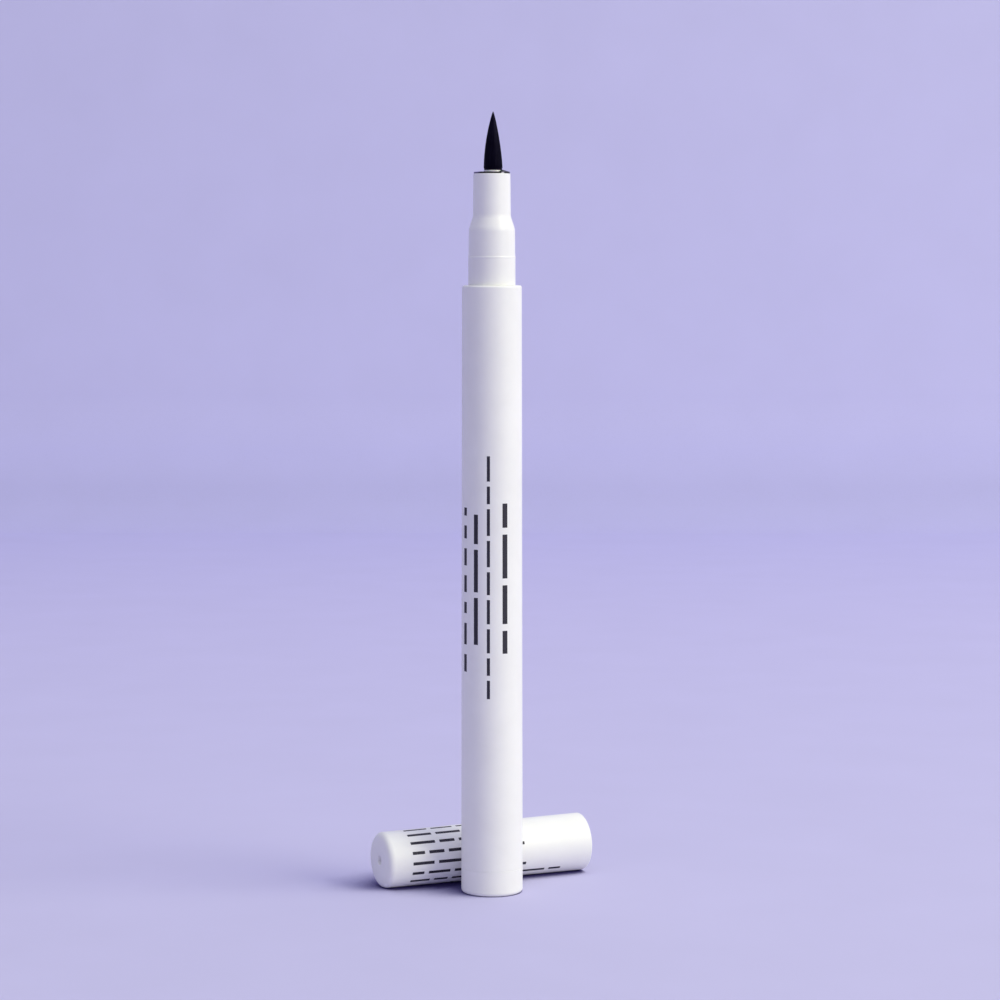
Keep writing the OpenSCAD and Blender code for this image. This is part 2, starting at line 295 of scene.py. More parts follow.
piece("barrel_tube", turned([
    (CHAMBER_R, SEAM_Z, 0.04), (TAIL_R, SEAM_Z, SEAM_ROUND), (SHOULDER_R, SHOULDER_Z, EDGE_ROUND),
    (LIP_R, SHOULDER_Z, 0.03), (LIP_R, LIP_Z), (CHAMBER_R, LIP_Z),
]), barrel_white, "pen", ["barrel"])

# %% [markdown]
# ## Step 6: the tail plug
#
# The pen stands on this plug. Its edge is rounded so that it feels soft in the hand. It is pressed
# into the barrel, and what shows of the joint is one fine line round the pen. Its stem is a cup with a
# groove for a rubber ring.

# %% Turn the tail plug
TAIL_ROUND = 0.6
STEM_R = 4.03
STEM_TOP = 11.1
CUP_R = 3.10
CUP_FLOOR = 1.5
GROOVE_R = 3.47
GROOVE_HALF = 0.29
TAIL_RING_Z = 6.5


def ring_groove(wall, middle):
    """Four corners of a square groove in a wall that the line climbs."""
    return [(wall, middle - GROOVE_HALF), (GROOVE_R, middle - GROOVE_HALF),
            (GROOVE_R, middle + GROOVE_HALF), (wall, middle + GROOVE_HALF)]


piece("tail_plug_body", turned(
    [(0, 0), (TAIL_R, 0, TAIL_ROUND), (TAIL_R, SEAM_Z, SEAM_ROUND), (STEM_R, SEAM_Z)]
    + ring_groove(STEM_R, TAIL_RING_Z)
    + [(STEM_R, STEM_TOP, 0.15), (CUP_R, STEM_TOP, 0.05), (CUP_R, CUP_FLOOR, 0.3), (0, CUP_FLOOR)],
    closed=False), plug_white, "pen", ["tail_plug"])

# %% [markdown]
# ## Step 7: the nozzle
#
# The nozzle holds the cap and the brush. From the shoulder up it has a straight land, a fine bead that
# snaps into the cap, a short waist, a slope with soft corners, and a neck that is open at the top. A
# skirt inside the barrel holds it.

# %% Turn the nozzle
LAND_R = 3.79
LAND_TOP = 102.95
BEAD_R = 3.84
BEAD_TOP = 103.19
WAIST_R = 3.71
NECK_FOOT_R = 3.04
NECK_TOP_R = 2.97
NECK_TOP = 116.44
SEAT_R = 2.40
FEED_R = 3.05
STEP_Z = 106.5
SLOPE_FOOT_Z = 107.62
SLOPE_TOP_Z = 109.61
SKIRT_Z = 88.0
RELIEF_R = 3.49
NOZZLE_RING_Z = 90.4

piece("nozzle_body", turned(
    [(FEED_R, SKIRT_Z), (STEM_R, SKIRT_Z, 0.15)] + ring_groove(STEM_R, NOZZLE_RING_Z)
    + [(STEM_R, LIP_Z), (RELIEF_R, LIP_Z), (RELIEF_R, SHOULDER_Z), (LAND_R, SHOULDER_Z, 0.02),
       (LAND_R, LAND_TOP, 0.03), (BEAD_R, LAND_TOP + 0.1, 0.06), (LAND_R - 0.04, BEAD_TOP + 0.1, 0.06),
       (WAIST_R, SLOPE_FOOT_Z, 0.4), (NECK_FOOT_R, SLOPE_TOP_Z, 0.4), (NECK_TOP_R, NECK_TOP, 0.09),
       (SEAT_R, NECK_TOP, 0.04), (SEAT_R, STEP_Z), (FEED_R, STEP_Z)]),
    nozzle_white, "pen", ["nozzle"])

# %% [markdown]
# ## Step 8: acetal for the tuft holder
#
# Acetal is hard, slippery and a little see-through at thin edges. It is moulded glossy, and next to
# the ink it takes a grey stain that fades upwards.

# %% Mould the acetal
COLLAR_TOP = 116.99
FLANGE_TOP = 116.66
STAIN_RISE = 0.12

acetal, tree, shader, place = new_material("glossy_moulded_acetal", IOR=1.48, Roughness=0.24,
                                           Subsurface_Weight=0.15, Subsurface_Scale=0.3 * MM)
stain_noise = add(tree, "ShaderNodeTexNoise",
                  {"Vector": place, "Scale": per_mm(0.7), "Detail": 4.0}).outputs["Fac"]
height = add(tree, "ShaderNodeSeparateXYZ", {"Vector": place}).outputs["Z"]
level = add(tree, "ShaderNodeMapRange", {"Value": height, "From Min": FLANGE_TOP * MM,
                                         "From Max": (FLANGE_TOP + STAIN_RISE) * MM}).outputs["Result"]
stain = add(tree, "ShaderNodeMath", {0: stain_noise, 1: 0.5, 2: level},
            operation="MULTIPLY_ADD").outputs[0]
stained = between(tree, "#8f8c99", "#e4e2e8", stain, 0.12, 0.5)
tree.links.new(stained.outputs["Color"], shader.inputs["Base Color"])
bumps(tree, shader, stain_noise, 0.004)
print("collar height in mm:", round(COLLAR_TOP - FLANGE_TOP, 2))

# %% [markdown]
# ## Step 9: the tuft holder
#
# This small sleeve grips the root of the brush. It has a thin flange that rests on the mouth of the
# neck, and a collar round the bristles. The collar sits a little off centre, so after the spin its
# points are moved to the right together with the bore.

# %% Turn the tuft holder
SMALL_STEPS = 96
TUFT_OFF = 0.2
HOLDER_R = 2.38
HOLDER_BOTTOM = 110.44
BORE_R = 1.34
FLANGE_R = 2.85
COLLAR_R = 1.50

holder_shape = turned([
    (BORE_R, HOLDER_BOTTOM), (HOLDER_R, HOLDER_BOTTOM, 0.1), (HOLDER_R, NECK_TOP), (FLANGE_R, NECK_TOP),
    (FLANGE_R, FLANGE_TOP, 0.06), (COLLAR_R, FLANGE_TOP, 0.04), (COLLAR_R, COLLAR_TOP, 0.06),
    (BORE_R, COLLAR_TOP, 0.04),
], steps=SMALL_STEPS)
core_verts = [v for v in holder_shape.verts if v.co.xy.length < (COLLAR_R + 0.1) * MM]
bmesh.ops.translate(holder_shape, verts=core_verts, vec=(TUFT_OFF * MM, 0, 0))
piece("tuft_holder_sleeve", holder_shape, acetal, "pen", ["tuft_holder"])

# %% [markdown]
# ## Step 10: black ink
#
# Liquid eyeliner is carbon black in water with a film former. It dries to a smooth, almost black film
# with a slight violet cast and a wet shine. Here the colour turns violet-grey towards the left edge of
# the flange, from X = -1.6 mm to -2.3 mm, with a ragged edge from the pools.

# %% Mix the ink
LEFT_FADE_FROM = -2.3
LEFT_FADE_TO = -1.6

ink, tree, shader, place = new_material("dried_carbon_ink", IOR=1.4, Coat_Weight=0.15,
                                        Coat_Roughness=0.2)
pools = add(tree, "ShaderNodeTexNoise",
            {"Vector": place, "Scale": per_mm(0.5), "Detail": 3.0}).outputs["Fac"]
# The colour turns violet-grey towards the left edge, below X = -1.6 mm.
across = add(tree, "ShaderNodeSeparateXYZ", {"Vector": place}).outputs["X"]
left_fade = add(tree, "ShaderNodeMapRange",
            {"Value": across, "From Min": LEFT_FADE_FROM * MM, "From Max": LEFT_FADE_TO * MM,
             "To Min": -0.5, "To Max": 0.5}).outputs["Result"]
ink_mix = add(tree, "ShaderNodeMath", {0: pools, 1: left_fade}, operation="ADD").outputs[0]
ink_colour = between(tree, "#6a6382", "#06050c", ink_mix, 0.15, 0.75)
tree.links.new(ink_colour.outputs["Color"], shader.inputs["Base Color"])
ink_gloss = add(tree, "ShaderNodeMapRange", {"Value": pools, "To Min": 0.3, "To Max": 0.55})
tree.links.new(ink_gloss.outputs["Result"], shader.inputs["Roughness"])
bumps(tree, shader, pools, 0.01)
print("ink colours set:", len(ink_colour.color_ramp.elements))

# %% [markdown]
# ## Step 11: ink left on the flange
#
# Each time the cap comes off, a little ink stays on the flange. It covers the rim and has crept up
# towards the collar on one side, in a small slope. The film is a thin ring that is spun and then
# pushed about: it rises where ink stands, and at the front right it sinks under the flange, so that a
# strip of the white plastic shows on the rim where the lamp's highlight falls. That strip is a painted
# highlight.

# %% Pour the ink film
FILM_STEPS = 128
FILM_R = 2.89
FILM_TOP = FLANGE_TOP + 0.05
SLOPE_AT = math.radians(-18)
SLOPE_WIDE = math.radians(26)
SLOPE_RISE = 0.36
# The gap in the film at the front right is a painted highlight: bare white plastic where the lamp's
# highlight falls.
HIGHLIGHT_GAP_AT = math.radians(-51)
HIGHLIGHT_GAP_WIDE = math.radians(7)
HIGHLIGHT_GAP_SINK = 0.11
HIGHLIGHT_GAP_SHRINK = 0.06
FILM_IN_R = COLLAR_R + 0.24
FILM_RINGS = (2.6, 2.35, 2.1, 1.9, FILM_IN_R)
FILM_TUCK = 0.02
RIPPLES_PER_MM = 0.9
RIPPLE_DEPTH = 0.02

film_shape = turned([
    (FILM_IN_R, FLANGE_TOP - FILM_TUCK), (FLANGE_R - FILM_TUCK, FLANGE_TOP - FILM_TUCK),
    (FLANGE_R - FILM_TUCK, NECK_TOP + FILM_TUCK), (FILM_R, NECK_TOP + 0.01, 0.02),
    (FILM_R, FILM_TOP, 0.03), *[(ring, FILM_TOP) for ring in FILM_RINGS],
], steps=FILM_STEPS)
for v in film_shape.verts:
    angle = math.atan2(v.co.y, v.co.x)
    radius = v.co.xy.length / MM
    ripple = noise.noise(v.co * RIPPLES_PER_MM / MM) * RIPPLE_DEPTH
    inwards = max(0, (FILM_R - radius) / (FILM_R - FILM_IN_R))
    rise = SLOPE_RISE * math.exp(-((angle - SLOPE_AT) / SLOPE_WIDE) ** 2) * inwards
    highlight_gap = math.exp(-(((angle - HIGHLIGHT_GAP_AT) / HIGHLIGHT_GAP_WIDE) ** 2) ** 2)
    if v.co.z > FLANGE_TOP * MM:
        v.co.z += (ripple + rise - HIGHLIGHT_GAP_SINK * highlight_gap) * MM
    if radius > FLANGE_R:
        v.co.xy *= 1 + (ripple * 0.5 - HIGHLIGHT_GAP_SHRINK * highlight_gap) / radius
piece("ink_film", film_shape, ink, "pen")

# %% [markdown]
# ## Step 12: wet black filaments
#
# The brush is made of fine tapered nylon filaments. Wet with ink they are nearly black, and the light
# only shows as thin violet-grey streaks along the bristles. The streaks follow the length of the
# brush, so the pattern is stretched along Z. A film of water-based ink has an IOR of 1.33 and shines
# weakly, with a violet cast.

# %% Wet the filaments
STREAK_MM = 0.16
STREAK_STRETCH = 0.06

filament, tree, shader, place = new_material("ink_wet_nylon_filament", IOR=1.33,
                                             Specular_IOR_Level=0.2, Specular_Tint=linear("#b9b0ff"))
along = add(tree, "ShaderNodeMapping", {"Vector": place, "Scale": (1, 1, STREAK_STRETCH)}).outputs[0]
streaks = add(tree, "ShaderNodeTexNoise",
              {"Vector": along, "Scale": per_mm(STREAK_MM), "Detail": 3.0}).outputs["Fac"]
wet = between(tree, "#04030a", "#0e0b1a", streaks, 0.35, 0.75)
tree.links.new(wet.outputs["Color"], shader.inputs["Base Color"])
wet_gloss = add(tree, "ShaderNodeMapRange", {"Value": streaks, "To Min": 0.38, "To Max": 0.6})
tree.links.new(wet_gloss.outputs["Result"], shader.inputs["Roughness"])
bumps(tree, shader, streaks, 0.02)
print("streak spacing in mm:", STREAK_MM)

# %% [markdown]
# ## Step 13: the brush tuft
#
# A real tuft is a bundle of bristles, each one tapered, glued at the root and drawn to one point by
# the wet ink. Its outline swells a little above the collar and closes in a slim point. The bundle's
# heart is turned as one shape. The bristles on the outside are drawn one by one as tapered curves
# that lie in the heart's skin, with a seeded spread, so that the brush has real strands.

# %% Shape the heart of the tuft
TUFT_Z = COLLAR_TOP
TUFT_LEN = 9.4
TUFT_R = 1.5
ROOT_R = 1.32
ROOT_BOTTOM = 110.04
BUTTON_R = 1.9
STAYS_FULL = 1.68
POINT_SLIM = 0.83
SWAY = 0.05
HEART_SHARE = 0.965
HEART_TIP = 0.995
HEART_STEPS = 40


def tuft_radius(share):
    """The tuft's radius in millimetres at a share of its length: full at first, then a slim point."""
    return TUFT_R * (1 - share ** STAYS_FULL) ** POINT_SLIM


def sway(share):
    """How far the tuft bends to the left at a share of its length, in millimetres."""
    return -SWAY * math.sin(math.pi * min(max(share, 0), 1)) ** 1.5


heart_line = [(0, ROOT_BOTTOM), (BUTTON_R, ROOT_BOTTOM, 0.1), (BUTTON_R, HOLDER_BOTTOM, 0.05),
              (ROOT_R, HOLDER_BOTTOM), (ROOT_R, TUFT_Z), (TUFT_R * HEART_SHARE, TUFT_Z + 0.12)]
heart_line += [(tuft_radius(i / HEART_STEPS) * HEART_SHARE, TUFT_Z + TUFT_LEN * i / HEART_STEPS)
               for i in range(1, HEART_STEPS)]
heart_line += [(0, TUFT_Z + TUFT_LEN * HEART_TIP)]
heart_shape = turned(heart_line, closed=False, steps=SMALL_STEPS)
for v in heart_shape.verts:
    share = (v.co.z / MM - TUFT_Z) / TUFT_LEN
    v.co.x += (TUFT_OFF + sway(share)) * MM

# %% [markdown]
# Each strand starts in the collar and follows the outline up. Its angle wanders slightly, and it ends
# at its own height near the point, as hand-picked bristles do.

# %% Lay the strands
STRANDS = 120
STRAND_R = 0.05
STRAND_POINTS = 16
STRAND_ROOT = -0.02
STRAND_TAPER = 0.72
STRAND_WAVE = 0.03
NEAR_AXIS = 0.012

chance = random.Random(11)
strand_data = bpy.data.curves.new("strands", "CURVE")
strand_data.dimensions = "3D"
strand_data.bevel_depth = STRAND_R * MM
strand_data.bevel_resolution = 1
strand_data.use_fill_caps = True
for number in range(STRANDS):
    angle = math.tau * (number + chance.uniform(-0.3, 0.3)) / STRANDS
    drift = chance.uniform(-0.12, 0.12)
    lift = chance.uniform(-0.02, 0.035)
    end = 1 - abs(chance.gauss(0, 0.055)) - 0.004
    spline = strand_data.splines.new("POLY")
    spline.points.add(STRAND_POINTS - 1)
    for i, point in enumerate(spline.points):
        share = STRAND_ROOT + (end - STRAND_ROOT) * i / (STRAND_POINTS - 1)
        radius = max(tuft_radius(max(share, 0)) - STRAND_R + lift * (1 - share), NEAR_AXIS)
        if share < 0:
            radius = ROOT_R - STRAND_R
        turn = angle + drift * share + STRAND_WAVE * math.sin(5 * share + number)
        point.co = ((radius * math.cos(turn) + TUFT_OFF + sway(share)) * MM,
                    radius * math.sin(turn) * MM, (TUFT_Z + TUFT_LEN * share) * MM, 1)
        point.radius = 1 - STRAND_TAPER * max(share, 0) ** 1.4
strand_object = bpy.data.objects.new("strands", strand_data)
bpy.context.scene.collection.objects.link(strand_object)
bpy.context.view_layer.update()
strand_mesh = bpy.data.meshes.new_from_object(strand_object)
heart_shape.from_mesh(strand_mesh)
bpy.data.objects.remove(strand_object)
bpy.data.meshes.remove(strand_mesh)
bmesh.ops.recalc_face_normals(heart_shape, faces=heart_shape.faces)
piece("brush_tuft_bristles", heart_shape, filament, "pen", ["brush_tuft"],
      even=False)

# %% [markdown]
# ## Step 14: the place of the cap
#
# The cap lies on the table and turns away from the pen. All of its pieces are drawn in the cap's own
# frame, with the mouth at zero and Z towards the closed end. The record of the CAD model says where
# the mouth's bore is and which way it points, and that gives the place.

# %% Find the cap's own frame
MOUTH_MIDDLE = 5.175

mouth = next(mount for mount in frame["record"]["mounts"] if mount["name"] == "cap_mouth")
cap_z = -Vector(mouth["axis"]).normalized()
cap_origin = Vector(mouth["pos_m"]) - cap_z * MOUTH_MIDDLE * MM
cap_x = (Vector((0, 0, 1)) - cap_z * cap_z.z).normalized()
cap_y = cap_z.cross(cap_x)
cap_place = Matrix.Translation(cap_origin) @ Matrix((cap_x, cap_y, cap_z)).transposed().to_4x4()


def laid(shape):
    """Moves a shape from the cap's own frame to the cap's place on the table."""
    bmesh.ops.transform(shape, matrix=cap_place, verts=shape.verts)
    return shape


print("mouth of the cap in mm:", [round(v / MM, 2) for v in cap_origin])

# %% [markdown]
# ## Step 15: the cap
#
# The cap is one moulding. Its mouth has a straight bore that grips the bead on the nozzle, then a
# small ring that keeps the inner cap in, and a long guide behind it. The closed end is well rounded,
# and its small dimple is the place where the plastic came into the mould. The dimple is a narrow and
# steep pit, so it stays darker than the end around it.

# %% Turn the cap
CAP_LEN = 36.7
CAP_MOUTH_R = 4.79
CAP_END_R = 4.58
END_ROUND = 1.0
MOUTH_R = 3.84
MOUTH_LEN = 10.2
SNAP_R = 3.32
SNAP_TOP = 10.65
GUIDE_R = 3.50
GUIDE_TOP = 35.5
PIP_R = 1.6
PIP_H = 1.2
FLARE = 0.15
DIMPLE_R = 0.80
DIMPLE_FLOOR_R = 0.66
DIMPLE_FLOOR = CAP_LEN - 1.2

piece("cap_body", laid(turned([
    (0, GUIDE_TOP - PIP_H), (PIP_R, GUIDE_TOP - PIP_H, 0.2), (PIP_R, GUIDE_TOP, 0.1),
    (GUIDE_R, GUIDE_TOP, 0.2), (GUIDE_R, SNAP_TOP, 0.03), (SNAP_R, SNAP_TOP, 0.05),
    (MOUTH_R, MOUTH_LEN, 0.08), (MOUTH_R, FLARE, 0.05), (MOUTH_R + FLARE, 0, 0.05),
    (CAP_MOUTH_R, 0, 0.3), (CAP_END_R, CAP_LEN, END_ROUND), (DIMPLE_R, CAP_LEN, 0.05),
    (DIMPLE_FLOOR_R, DIMPLE_FLOOR, 0.1), (0, DIMPLE_FLOOR),
], closed=False)), cap_white, "cap", ["cap_shell"])

# %% [markdown]
# ## Step 16: the printed lines
#
# A pen of this kind carries small print along the barrel and the cap. Here each line of print is only
# a row of plain dark strokes of seeded lengths, with nothing to read. Pad-printed ink stands a few
# hundredths of a millimetre proud and is matt. Each stroke starts as a flat grid, is wrapped round the
# wall and gets a thickness.

# %% Mix the printing ink
print_ink, tree, shader, place = new_material("matt_pad_printing_ink", IOR=1.45)
mottle = add(tree, "ShaderNodeTexNoise",
             {"Vector": place, "Scale": per_mm(0.25), "Detail": 3.0}).outputs["Fac"]
print_colour = between(tree, "#15131d", "#34313f", mottle)
tree.links.new(print_colour.outputs["Color"], shader.inputs["Base Color"])
print_gloss = add(tree, "ShaderNodeMapRange", {"Value": mottle, "To Min": 0.5, "To Max": 0.7})
tree.links.new(print_gloss.outputs["Result"], shader.inputs["Roughness"])
bumps(tree, shader, mottle, 0.004)

# %% Print the lines
PRINT_PROUD = 0.012
PRINT_DEEP = 0.03
# Each row on the barrel: angle, start, stop, height of a stroke, longest stroke, gap.
BARREL_ROWS = [(-64, 63.8, 39.6, 0.85, 7.5, 1.1), (-95.9, 71.4, 32.3, 0.5, 4.6, 0.8),
               (-121, 62, 41, 0.75, 12, 0.9), (-149.5, 63, 36, 0.8, 3.6, 1.6)]
CAP_ROWS = 7
CAP_ROW_START = 32.6
CAP_ROW_FIRST = -6
CAP_ROW_TURN = 21.5


def print_line(shape, wall, angle, start, stop, tall, longest, gap):
    """Prints one row of strokes along a wall, whose radius is wall(z), from start down to stop."""
    z = start
    while z > stop + gap:
        length = min(chance.uniform(0.35, 1) * longest, z - stop)
        strip = bmesh.ops.create_grid(shape, x_segments=4, y_segments=1, size=0.5)["verts"]
        for v in strip:
            height = z - (v.co.y + 0.5) * length
            turn = math.radians(angle) + v.co.x * tall / wall(height)
            radius = (wall(height) + PRINT_PROUD) * MM
            v.co = (radius * math.cos(turn), radius * math.sin(turn), height * MM)
        z -= length + gap


def thicken(shape):
    """Gives the strokes the thickness of the ink film, inwards."""
    bmesh.ops.recalc_face_normals(shape, faces=shape.faces)
    for face in shape.faces:
        if face.normal.xy.dot(face.calc_center_median().xy) < 0:
            face.normal_flip()
    bmesh.ops.solidify(shape, geom=shape.faces[:], thickness=PRINT_DEEP * MM)
    return shape


def barrel_wall(z):
    """The barrel's radius at a height."""
    return TAIL_R + (SHOULDER_R - TAIL_R) * (z - SEAM_Z) / (SHOULDER_Z - SEAM_Z)


def cap_wall(z):
    """The cap's radius at a distance from its mouth."""
    return CAP_MOUTH_R + (CAP_END_R - CAP_MOUTH_R) * z / CAP_LEN


barrel_print = bmesh.new()
for row in BARREL_ROWS:
    print_line(barrel_print, barrel_wall, *row)
piece("barrel_print_strokes", thicken(barrel_print), print_ink, "pen",
      even=False)

cap_print = bmesh.new()
for number in range(CAP_ROWS):
    row_stop = chance.uniform(8, 17) - (4 if number > 4 else 0)
    print_line(cap_print, cap_wall, CAP_ROW_FIRST - CAP_ROW_TURN * number, CAP_ROW_START, row_stop,
               tall=0.5, longest=5.2, gap=0.8)
piece("cap_print_strokes", laid(thicken(cap_print)), print_ink, "cap",
      even=False)

# %% [markdown]
# ## Step 17: the inner cap
#
# A soft cup inside the cap closes over the neck, so that the brush stays wet. It is natural
# low-density polyethylene: milky, waxy, and see-through enough that the ink on its inner wall shows
# as a grey tint. It is moulded thin, with two guide lands that slide in the cap.

# %% Mould the waxy polyethylene
waxy, tree, shader, place = new_material("natural_polyethylene", IOR=1.51, Roughness=0.38,
                                         Subsurface_Weight=0.5, Subsurface_Scale=0.6 * MM)
cloud = add(tree, "ShaderNodeTexNoise",
            {"Vector": place, "Scale": per_mm(3), "Detail": 3.0}).outputs["Fac"]
milky = between(tree, "#dedde3", "#efeef2", cloud)
tree.links.new(milky.outputs["Color"], shader.inputs["Base Color"])
bumps(tree, shader, cloud, 0.01)

# %% Turn the inner cap
INNER_Z = 10.67
INNER_TOP = 27.97
INNER_BORE_R = 3.10
INNER_DEEP = 5.7
SLIDER_R = 3.46
INNER_R = 3.35
ROOM_R = 2.3
TIP_R = 2.55
LAND_W = 0.8
ROOM_Z = INNER_Z + INNER_DEEP + INNER_BORE_R - ROOM_R
ROOM_TOP = INNER_TOP - 0.7

piece("inner_cap_cup", laid(turned([
    (INNER_BORE_R, INNER_Z, 0.06), (SLIDER_R, INNER_Z, 0.06), (SLIDER_R, INNER_Z + LAND_W, 0.03),
    (INNER_R, INNER_Z + LAND_W, 0.03), (INNER_R, INNER_Z + INNER_DEEP, 0.1),
    (TIP_R, INNER_Z + INNER_DEEP + INNER_R - TIP_R, 0.1), (TIP_R, INNER_TOP - 2 * LAND_W, 0.05),
    (SLIDER_R, INNER_TOP - 2 * LAND_W, 0.05), (SLIDER_R, INNER_TOP - LAND_W, 0.05),
    (TIP_R, INNER_TOP - LAND_W, 0.05), (TIP_R, INNER_TOP, 0.1), (PIP_R, INNER_TOP, 0.05),
    (PIP_R, INNER_TOP + PIP_H, 0.2), (0, INNER_TOP + PIP_H), (0, ROOM_TOP),
    (ROOM_R, ROOM_TOP, 0.4), (ROOM_R, ROOM_Z, 0.1), (INNER_BORE_R, INNER_Z + INNER_DEEP, 0.1),
], closed=False)), waxy, "inner_cap", ["inner_cap"])

# %% [markdown]
# ## Step 18: the spring
#
# The inner cap is pressed on the neck by a small coil of spring steel. Drawn wire has a thin bright
# skin with fine marks along it. A coil is wound: the first and last turn lie close, so that it stands
# square, and the turns between them are open. Here a small disc is spun round the axis with a rise per
# step, in three stretches with their own pitch.

# %% Draw the wire
wire, tree, shader, place = new_material("drawn_spring_steel", Metallic=1.0)
marks = add(tree, "ShaderNodeTexNoise",
            {"Vector": place, "Scale": per_mm(0.2), "Detail": 3.0}).outputs["Fac"]
steel = between(tree, "#8f9299", "#c3c5ca", marks)
tree.links.new(steel.outputs["Color"], shader.inputs["Base Color"])
steel_gloss = add(tree, "ShaderNodeMapRange", {"Value": marks, "To Min": 0.22, "To Max": 0.42})
tree.links.new(steel_gloss.outputs["Result"], shader.inputs["Roughness"])
bumps(tree, shader, marks, 0.004)

# %% Wind the spring
WIRE_R = 0.2
COIL_R = 2.2
SPRING_GAP = 0.02
SPRING_LOW = INNER_TOP + SPRING_GAP + WIRE_R
SPRING_RISE = GUIDE_TOP - SPRING_GAP - WIRE_R - SPRING_LOW
WIRE_SIDES = 10
CLOSE_PITCH = 0.43
OPEN_TURNS = 4
STEPS_PER_TURN = 32

spring_shape = bmesh.new()
disc = bmesh.ops.create_circle(spring_shape, cap_ends=True, segments=WIRE_SIDES,
                               radius=WIRE_R * MM)["verts"]
bmesh.ops.rotate(spring_shape, verts=disc, cent=(0, 0, 0),
                 matrix=Matrix.Rotation(math.pi / 2, 3, "X"))
bmesh.ops.translate(spring_shape, verts=disc, vec=(COIL_R * MM, 0, SPRING_LOW * MM))
section = spring_shape.faces[:] + spring_shape.edges[:] + spring_shape.verts[:]
open_rise = SPRING_RISE - 2 * CLOSE_PITCH
for turns, rise in ((1, CLOSE_PITCH), (OPEN_TURNS, open_rise), (1, CLOSE_PITCH)):
    steps = turns * STEPS_PER_TURN
    section = bmesh.ops.spin(spring_shape, geom=section, cent=(0, 0, 0), axis=(0, 0, 1),
                             dvec=(0, 0, rise / steps * MM), angle=math.tau * turns, steps=steps,
                             use_merge=False, use_duplicate=False)["geom_last"]
clean(spring_shape)
spring = piece("inner_cap_coil", laid(spring_shape), wire, "cap",
               ["inner_cap_spring"], even=False)
solid_height = (OPEN_TURNS + 3) * 2 * WIRE_R
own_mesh(spring)
print("spring height in mm:", round(SPRING_RISE + 2 * WIRE_R, 2), "solid:", round(solid_height, 2))

# %% [markdown]
# ## Step 19: the pieces inside the pen
#
# Nothing of these shows from outside, but each keeps the finish of its own material, for anyone who
# takes the pen apart: moulded ABS for the comb, bonded polyester fibre for the core, open foam for
# the overflow ring, nitrile rubber for the seals, and polished stainless steel for the mixing balls.

# %% Finish the hidden pieces
def hidden_finish(name, low, high, size_mm, depth_mm, **sockets):
    """A plain moulded or fibrous finish: two close colours and bumps in one pattern."""
    material, tree, shader, place = new_material(name, **sockets)
    pattern = add(tree, "ShaderNodeTexNoise",
                  {"Vector": place, "Scale": per_mm(size_mm), "Detail": 3.0}).outputs["Fac"]
    colour = between(tree, low, high, pattern, 0.35, 0.65)
    tree.links.new(colour.outputs["Color"], shader.inputs["Base Color"])
    bumps(tree, shader, pattern, depth_mm)
    return material


finishes = {
    "ink_collector": hidden_finish("moulded_abs", "#dcdce1", "#ececf0", 1.2, 0.004,
                                   Roughness=0.35, IOR=1.54),
    "relay_core": hidden_finish("bonded_polyester_fibre", "#15141a", "#34323c", 0.12, 0.03,
                                Roughness=0.8),
    "overflow_sponge": hidden_finish("open_cell_foam", "#24232b", "#5a5963", 0.25, 0.08,
                                     Roughness=0.95),
    "tail_seal_ring": hidden_finish("nitrile_rubber", "#202023", "#2f2f33", 0.3, 0.005,
                                    Roughness=0.6),
    "mixing_ball_left": hidden_finish("polished_stainless_ball", "#c3c6ca", "#d3d5d8", 0.6, 0.001,
                                      Roughness=0.12, Metallic=1.0),
}
finishes["nozzle_seal_ring"] = finishes["tail_seal_ring"]
finishes["mixing_ball_right"] = finishes["mixing_ball_left"]
for node_name, finish in finishes.items():
    node_mesh = nodes[node_name].data
    node_mesh.materials.clear()
    node_mesh.materials.append(finish)
print("hidden pieces finished:", len(finishes))

# %% [markdown]
# ## Step 20: the floor and the backdrop
#
# The pen stands on one sheet of lavender paper that runs over the table, curves up and goes on as the
# wall. A straight line with one rounded corner is drawn and pulled sideways into that sheet. It is far
# larger than a real one, so that its edge doesn't show, whichever side the pen is looked at from.
#
# The paper isn't quite even: it looks deeper where the sheet bends up, and paler on the wall. So its
# The paper's tint is a ramp along the sheet, whose place is Y on the table and goes on with Z up the
# wall.
# The ramp paints light and shade into the paper's colour: painted shade makes it deeper where the sheet
# bends up, and painted light makes it paler on the wall. In front, where the warm lamp stands close, the
# tint is deeper too, a painted shade so that the paper isn't bleached there.
# Close to the pen and the cap the paper gets a painted deep violet shade, violet because the little light
# that reaches such a gap has bounced off the lavender sheet. Two ambient occlusion nodes paint it into
# the paper's colour. The first leans to the lamp's side and darkens the paper where something stands in
# the way of the lamp within about a centimetre: a painted cast shadow. The second looks straight up and
# paints the shade in the narrow gap under the round cap. The darker of the two counts.
#
# The painted shade is only what the eye sees. Light that bounces off the paper towards the pen leaves it
# undarkened, so the underside of the cap and the foot of the pen keep their lavender glow. So the paper
# has two shaders, and a helper that tells looking from bouncing chooses between them.

# %% Tint the paper along the sheet, with painted light and shade
PAPER_ROUGHNESS = 0.9
FIBRE_MM = 25
SHEET_FROM = -1000
SHEET_TO = 900
# Each stop is the paper's lavender with painted light and shade: deeper in front and in the cove, paler
# on the wall.
SHEET_TINTS_AND_PAINTED_SHADE = [(-350, "#b3aeda"), (-100, "#c2bee2"), (380, "#c4bfe7"), (640, "#c3bfe9"),
               (664, "#bcb9e4"), (690, "#b8b5e1"), (716, "#c1beea"), (740, "#cdcaef")]

